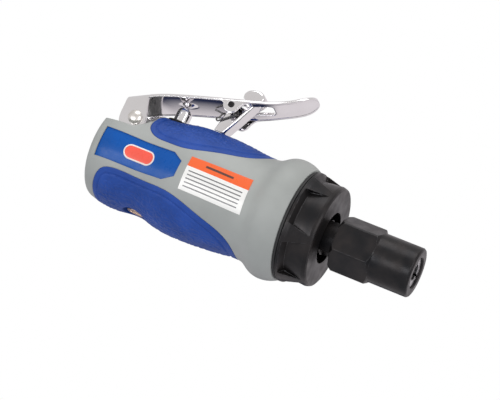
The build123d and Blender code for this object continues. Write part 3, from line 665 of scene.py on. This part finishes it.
def spread(points, step):
    """Points spaced evenly, about step apart, along straight runs."""
    points = [Vector(p) for p in points]
    lengths = [(b - a).length for a, b in zip(points, points[1:])]
    count = max(1, round(sum(lengths) / step))
    out = []
    for k in range(count + 1):
        left, i = sum(lengths) * k / count, 0
        while i < len(lengths) - 1 and left > lengths[i]:
            left -= lengths[i]
            i += 1
        out.append(points[i].lerp(points[i + 1], min(1.0, left / lengths[i])))
    return out


def at(points, x):
    """Value at x on straight runs through (x, value) points."""
    for (xa, a), (xb, b) in zip(points, points[1:]):
        if x <= xb:
            return a + (b - a) * max(0.0, (x - xa) / (xb - xa))
    return points[-1][1]


def arc(centre, radius, start, end, count=24):
    """Side-view arc between two angles in degrees, from +X towards +Z."""
    out = []
    for k in range(count + 1):
        turn = math.radians(start + (end - start) * k / count)
        out.append((centre[0] + radius * math.cos(turn), centre[1] + radius * math.sin(turn)))
    return out


def lathed(name, profile, centre, along, count=96):
    """Turned solid from (distance along the axis, radius) corners."""
    along = Vector(along)
    side = Vector((1, 0, 0))
    other = along.cross(side)
    turns = [math.tau * k / count for k in range(count)]
    rows = []
    for distance, radius in profile:
        radius = max(radius, AXIS_R)
        rows.append([Vector(centre) + along * distance
                     + radius * (side * math.cos(turn) + other * math.sin(turn))
                     for turn in turns])
    obj = closed_lattice(name, rows)
    shade(obj)
    return obj


def crosswise_rod(x, z, radius, half):
    """Cutter for a pin's hole."""
    return lathed("cutter", [(-half, radius), (half, radius)], (x, 0, z), (0, 1, 0), 48)


def finish_piece(obj, body, slot, nodes, materials, finish=None):
    """Gives a new piece its finish and place, and hides the CAD nodes it stands for."""
    obj.data.materials.clear()
    obj.data.materials.append(materials[finish or slot])
    if nodes:
        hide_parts(*nodes)
    if body:
        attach(obj, body)


# ---- lever, catch and spring -----------------------------------------------------------------
def lever_rows():
    """(crest x, half width, foot) of every row; no foot means a plain rim."""

    def ear(feet, start, end):
        """Rows with these feet, their crest places spaced evenly from start to end."""
        return [(start + (end - start) * k / (len(feet) - 1), foot)
                for k, foot in enumerate(feet)]

    def rim(start, end):
        return [(spot.x, None) for spot in spread([(start, 0), (end, 0)], LEVER_STEP)]

    start, middle, end = REAR_EAR_CREST
    under = REAR_EAR_BACK + arc(PIVOT, REAR_EAR_R, *REAR_EAR_ARC)
    rows = ear(spread(under, LEVER_STEP), start, middle)
    rows += ear(spread(REAR_EAR_EDGE, LEVER_STEP), middle, end)[1:]
    first, last = MID_EAR_CREST
    rows += rim(end + REAR_EAR_GAP, first - MID_EAR_GAP)
    under = MID_EAR_REAR + arc(CATCH_PIVOT, MID_EAR_R, *MID_EAR_ARC) + MID_EAR_FRONT
    rows += ear(spread(under, MID_EAR_STEP), first, last)
    rows += rim(last + MID_EAR_GAP, PADDLE_ROUND_X)

    wide = path(LEVER_HALF_WIDTH, 1.0)
    out = [(x, min(at(wide, x), LEVER_WIDEST), foot) for x, foot in rows]
    for degrees in PADDLE_TURNS:
        across = math.cos(math.radians(degrees)) ** PADDLE_POWER
        ahead = math.sin(math.radians(degrees)) ** PADDLE_POWER
        x = PADDLE_ROUND_X + (PADDLE_TIP_X - PADDLE_ROUND_X) * ahead
        out.append((x, at(wide, PADDLE_ROUND_X) * across, None))
    return out


def channel(top, foot, normal, half, sheet, bend, crown):
    """(y, side-view point) loop of a folded sheet: its web at top, its flanges down to foot."""
    depth = (foot - top).length
    down = (foot - top) / depth
    thick = sheet / max(FOLD_SLANT_LEAST, down.dot(normal))
    depth = max(depth, crown + thick + FOLD_FLANGE_LEAST)
    loop = []
    for inset, drop, direction in ((0.0, 0.0, 1), (sheet, thick, -1)):
        reach = max(half - inset, half * FOLD_REACH_LEAST)
        room = depth - crown - drop - FOLD_GAP
        rise = max(FOLD_BEND_LEAST,
                   min(bend - FOLD_BEND_INSIDE * inset, room, reach * FOLD_BEND_SHARE))
        flat = reach - rise
        side = []
        for k in range(FOLD_STEPS["flange"]):
            share = k / FOLD_STEPS["flange"]
            side.append((reach, depth + (crown + drop + rise - depth) * share))
        for k in range(FOLD_STEPS["bend"]):
            turn = math.pi / 2 * k / FOLD_STEPS["bend"]
            side.append((flat + rise * math.cos(turn),
                         crown + drop + rise * (1 - math.sin(turn))))
        for k in range(FOLD_STEPS["web"]):
            y = flat * (1 - k / FOLD_STEPS["web"])
            side.append((y, drop + crown * (y / flat) ** 2))
        both = side + [(0.0, drop)] + [(-y, fall) for y, fall in reversed(side)]
        loop += both[::direction]
    return [(y, top + down * fall) for y, fall in loop]


def lever_section(crest, x, half, foot):
    """Closed loop of points across the lever."""
    top = Vector((x, at(crest, x)))
    step = LEVER_CREST_STEP
    slope = (at(crest, x + step) - at(crest, x - step)) / (2 * step)
    normal = Vector((slope, -1)).normalized()
    if foot is None:
        foot = top + normal * at(LEVER_RIM_DEPTH, x)
    points = []
    for y, spot in channel(top, foot, normal, half, LEVER_SHEET, LEVER_BEND, at(LEVER_CROWN, x)):
        near = math.hypot(x - DIMPLE["x"], y) / DIMPLE["radius"]
        if near < 1:
            spot = spot + normal * DIMPLE["depth"] * (1 - near * near) ** 2
        points.append((spot.x, y, spot.y))
    return points


def slot_cutter():
    """Upright prism with rounded corners, for the catch's slot in the lever."""
    slot = LEVER_SLOT
    outline = []
    for sx, sy, start in ((1, 1, 0), (-1, 1, 90), (-1, -1, 180), (1, -1, 270)):
        end = slot["front"] if sx > 0 else slot["rear"]
        corner = (end - sx * slot["corner"], sy * (slot["half"] - slot["corner"]))
        outline += arc(corner, slot["corner"], start, start + 90, 8)
    return closed_lattice("cutter", [[(x, y, z) for x, y in outline] for z in slot["span_z"]])


def make_lever(materials):
    """Pressed and chromed lever: crowned web, rolled rims, pivot and catch ears, dimple, slot."""
    crest = path(LEVER_CREST, LEVER_CREST_STEP)
    lever = closed_lattice("lever_sheet", [lever_section(crest, *row) for row in lever_rows()])
    across = LEVER_WIDEST + CUT_BEYOND
    cut(lever, slot_cutter())
    cut(lever, crosswise_rod(*PIVOT, PIN_R + PIN_PLAY, across))
    cut(lever, crosswise_rod(*CATCH_PIVOT, CATCH_PIN["radius"] + CATCH_PIN_PLAY["lever"], across))
    round_edges(lever, LEVER_EDGE)
    shade(lever)
    finish_piece(lever, "lever", "chrome", ["throttle_lever"], materials)


def make_catch(materials):
    """Folded sheet catch: front wall, two cheeks and a rounded thumb tab."""
    line = path(CATCH_ROWS, CATCH_STEP)
    rows = []
    for before, here, after in zip([line[0]] + line, line, line[1:] + [line[-1]]):
        wall, free = Vector(here[:2]), Vector(here[2:])
        along = Vector(after[:2]) - Vector(before[:2])
        normal = Vector((-along.y, along.x)).normalized()
        loop = channel(wall, free, normal, CATCH_HALF_WIDTH, CATCH_SHEET, CATCH_BEND, 0.0)
        rows.append([(spot.x, y, spot.y) for y, spot in loop])
    catch = closed_lattice("catch_sheet", rows)
    cut(catch, crosswise_rod(*CATCH_PIVOT, CATCH_PIN["radius"] + CATCH_PIN_PLAY["catch"],
                             CATCH_HALF_WIDTH + CUT_BEYOND))
    round_edges(catch, CATCH_EDGE)
    shade(catch)
    finish_piece(catch, "catch", "chrome", ["safety_catch"], materials)


def tube(name, points, radius):
    """Round wire through points."""
    curve = bpy.data.curves.new(name, "CURVE")
    curve.dimensions = "3D"
    curve.bevel_depth = radius * MM
    curve.bevel_resolution = 3
    curve.use_fill_caps = True
    line = curve.splines.new("POLY")
    line.points.add(len(points) - 1)
    for spot, point in zip(line.points, points):
        spot.co = (*(Vector(point) * MM), 1)
    holder = linked(name, curve)
    mesh = baked(holder)
    bpy.data.objects.remove(holder)
    obj = linked(name, mesh)
    shade(obj, 50)
    return obj


def make_spring(materials):
    """Torsion spring: a tail under the lever, coils round the pin, a leg with an eye."""
    px, pz = CATCH_PIVOT
    half, coil = SPRING["half"], SPRING["coil"]
    tail = [(px + x, half, pz + z) for x, z in SPRING_TAIL]
    turns = []
    count = round(SPRING["turns"] * SPRING["steps"])
    for k in range(count + 1):
        turn = math.radians(270) - math.tau * SPRING["turns"] * k / count
        y = half * (1 - 2 * k / count)
        turns.append((px + coil * math.cos(turn), y, pz + coil * math.sin(turn)))
    x, y, z = SPRING_LEG_START
    leg = [turns[-1], (px + x, y, pz + z)]
    leg += [(px + x, SPRING_LEG_Y, pz + z) for x, z in SPRING_LEG]
    ring = arc((px + SPRING_EYE["x"], pz + SPRING_EYE["z"]), SPRING_EYE["radius"],
               *SPRING_EYE["arc"], 16)
    eye = [(x, SPRING_LEG_Y, z) for x, z in ring]
    end = (px + SPRING_END[0], SPRING_LEG_Y, pz + SPRING_END[1])
    wire = tail + turns + path(leg, SPRING_LEG_STEP)[1:] + eye + [end]
    spring = tube("torsion_spring", wire, SPRING["wire"])
    finish_piece(spring, None, "spring_steel", ["catch_spring"], materials)
    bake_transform(spring)


def make_valve_coil(materials):
    """Compression spring under the poppet, built at one fixed length; on the tool it shortens as the stem goes
    down.
    """
    coil = VALVE_COIL
    rise = coil["high"] - coil["low"]
    count = round(rise / coil["pitch"] * coil["steps"])
    points = []
    for k in range(count + 1):
        turn = math.tau * rise / coil["pitch"] * k / count
        points.append((STEM_X + coil["radius"] * math.cos(turn), coil["radius"] * math.sin(turn),
                       coil["low"] + rise * k / count))
    spring = tube("valve_coil", points, coil["wire"])
    finish_piece(spring, None, "spring_steel", ["valve_spring"], materials)
    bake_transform(spring)


# ---- pins, stem and badge --------------------------------------------------------------------
def make_pins_and_stem(materials):
    """Lever's pin with its domed heads, the catch's plain pin, and the valve stem."""
    head = PIN_HEAD
    tip = head["centre"] + head["dome"]
    profile = []
    for k in range(head["steps"] + 1):
        y = tip - (tip - head["edge"]) * k / head["steps"]
        reach = head["dome"] ** 2 - (y - head["centre"]) ** 2
        profile.append((y, math.sqrt(max(0.0, reach))))
    profile += [(head["edge"] - PIN_HEAD_CHAMFER / 2, head["radius"]),
                (head["inner"] + PIN_HEAD_CHAMFER, head["radius"]),
                (head["inner"], head["radius"] - PIN_HEAD_CHAMFER), (head["inner"], PIN_R)]
    whole = profile + [(-y, r) for y, r in reversed(profile)]
    pin = lathed("pivot_pin", whole, (PIVOT[0], 0, PIVOT[1]), (0, 1, 0), 72)
    finish_piece(pin, "root", "chrome", ["lever_pin"], materials, "pin_steel")
    end, radius, chamfer = CATCH_PIN["end"], CATCH_PIN["radius"], CATCH_PIN["chamfer"]
    ends = [(end, 0.0), (end, radius - chamfer), (end - chamfer, radius)]
    rod = lathed("catch_rod", ends + [(-y, r) for y, r in reversed(ends)],
                 (CATCH_PIVOT[0], 0, CATCH_PIVOT[1]), (0, 1, 0), 48)
    finish_piece(rod, "lever", "black_steel", ["catch_pin"], materials)
    stem = lathed("valve_button", [(z, r) for r, z in STEM_PROFILE], (STEM_X, 0, 0), (0, 0, 1))
    finish_piece(stem, "stem", "chrome", ["valve_stem"], materials)


def make_badge(side, materials):
    """Plain rounded badge with a raised rim, lying on a name plate."""
    hand = "right" if side < 0 else "left"
    plate = frame["nodes"][f"name_plate_{hand}"].data
    tree = BVHTree.FromPolygons([v.co for v in plate.vertices],
                                [p.vertices for p in plate.polygons])
    rings = []
    for radius, height in BADGE_FACE + BADGE_RIM:
        ring = []
        for k in range(BADGE["steps"]):
            turn = math.tau * k / BADGE["steps"]
            bulge = radius * math.cos(turn)
            x = BADGE["x"] + bulge + math.copysign(BADGE["straight"], bulge)
            z = BADGE["z"] + radius * math.sin(turn)
            start = Vector((x, side * OUTSIDE_Y, z)) * MM
            spot, normal, _, _ = tree.ray_cast(start, (0, -side, 0))
            ring.append(spot / MM + normal * height)
        rings.append(ring)
    badge = closed_lattice(f"badge_{hand}", rings)
    shade(badge, 50)
    finish_piece(badge, "root", None, [], materials, "badge")
    badge.data.materials.append(materials["badge_rim"])
    for face in badge.data.polygons:
        middle = face.center / MM
        out = max(abs(middle.x - BADGE["x"]) - BADGE["straight"], 0.0)
        if math.hypot(out, middle.z - BADGE["z"]) > BADGE_RIM_FROM:
            face.material_index = 1


# ---- grips -----------------------------------------------------------------------------------
def wrinkle(spot):
    """Leather relief at a point, from 0 in the creases to 1 on the cells."""
    size = PAD_WRINKLE["size"]
    warped = spot / size + WRINKLE_WARP * noise.noise_vector(spot / (size * WRINKLE_WARP_SIZE))
    distances, _ = noise.voronoi(warped)
    return min(1.0, (distances[1] - distances[0]) / WRINKLE_CREASE)


def wrinkle_field(mesh):
    """Wrinkles the outward side of a pad, fading out towards its edges and its groove."""
    outward, edges = [], []
    for vertex in mesh.vertices:
        radial = Vector((0, vertex.co.y, vertex.co.z)).normalized()
        facing = vertex.normal.dot(radial)
        if facing > PAD_OUTWARD:
            outward.append(vertex)
        if abs(facing) < PAD_EDGE_FACING:
            edges.append(vertex.co)
    near = KDTree(len(edges))
    for i, spot in enumerate(edges):
        near.insert(spot, i)
    near.balance()
    moves = []
    for vertex in outward:
        _, _, gap = near.find(vertex.co)
        share = (gap - PAD_WRINKLE["near"]) / (PAD_WRINKLE["far"] - PAD_WRINKLE["near"])
        share = min(1.0, max(0.0, share))
        lift = PAD_WRINKLE["depth"] * share * (wrinkle(vertex.co) - WRINKLE_MIDDLE)
        moves.append((vertex, vertex.co + vertex.normal * lift))
    for vertex, place in moves:
        vertex.co = place


def make_grip(name, node, materials):
    """Grip pad with soft edges, its groove, and a wrinkled field inside the groove."""
    grip = linked(name, frame["nodes"][node].data.copy())
    form = bmesh.new()
    form.from_mesh(grip.data)
    bmesh.ops.remove_doubles(form, verts=form.verts, dist=PAD_WELD)
    form.to_mesh(grip.data)
    form.free()
    skin = grip.modifiers.new("skin", "REMESH")
    skin.mode = "VOXEL"
    skin.voxel_size = PAD_VOXEL
    ease = grip.modifiers.new("ease", "SMOOTH")
    ease.factor = PAD_EASE["factor"]
    ease.iterations = PAD_EASE["iterations"]
    settle(grip)
    wrinkle_field(grip.data)
    for polygon in grip.data.polygons:
        polygon.use_smooth = True
    finish_piece(grip, "root", "grip_blue", [node], materials)


# ---- finishes --------------------------------------------------------------------------------
# CAD nodes that show another finish than their slot's.
NODE_FINISH = {"valve_bushing": "black_steel"}


def dress(materials):
    """Gives each shown CAD node its material by the record's slot."""
    slots = {row["node"]: row["material_slot"] for row in frame["record"]["subparts"]}
    for name, node in frame["nodes"].items():
        node.data.materials.clear()
        node.data.materials.append(materials[NODE_FINISH.get(name, slots[name])])


MATERIALS = {
    "housing_grey": moulded("housing_grey", (0.335, 0.352, 0.342), 0.46),
    "grip_blue": leathery("grip_blue", (0.010, 0.058, 0.31), 0.56),
    "plate_blue": inlay("plate_blue", (0.001, 0.080, 0.36)),
    "badge": inlay("badge", (0.85, 0.11, 0.075)),
    "badge_rim": inlay("badge_rim", (0.80, 0.74, 0.70)),
    "label": ruled_label("label"),
    "black_steel": blackened("black_steel"),
    "chrome": polished("chrome"),
    "steel": machined("steel", (0.55, 0.55, 0.56), 0.28),
    "spring_steel": machined("spring_steel", (0.16, 0.155, 0.15), 0.32, (1.0, 1.0, 1.0)),
    "aluminium": machined("aluminium", (0.72, 0.73, 0.74), 0.32),
    "brass": machined("brass", (0.86, 0.62, 0.46), 0.30, (0.25, 0.25, 0.4)),
    "pin_steel": machined("pin_steel", (0.86, 0.83, 0.79), 0.30, (1.0, 1.0, 1.0)),
    "black_rubber": rubber("black_rubber", (0.02, 0.02, 0.021)),
    "vane_composite": woven("vane_composite", (0.22, 0.12, 0.06)),
    "black_plastic": moulded("black_plastic", (0.03, 0.03, 0.031), 0.45),
    "felt": woven("felt", (0.62, 0.60, 0.54)),
}

add_camera()
studio()
dress(MATERIALS)
make_lever(MATERIALS)
make_catch(MATERIALS)
make_spring(MATERIALS)
make_valve_coil(MATERIALS)
make_pins_and_stem(MATERIALS)
for side in (-1, 1):
    make_badge(side, MATERIALS)
make_grip("grip_upper", "upper_grip_pad", MATERIALS)
make_grip("grip_lower", "lower_grip_pad", MATERIALS)
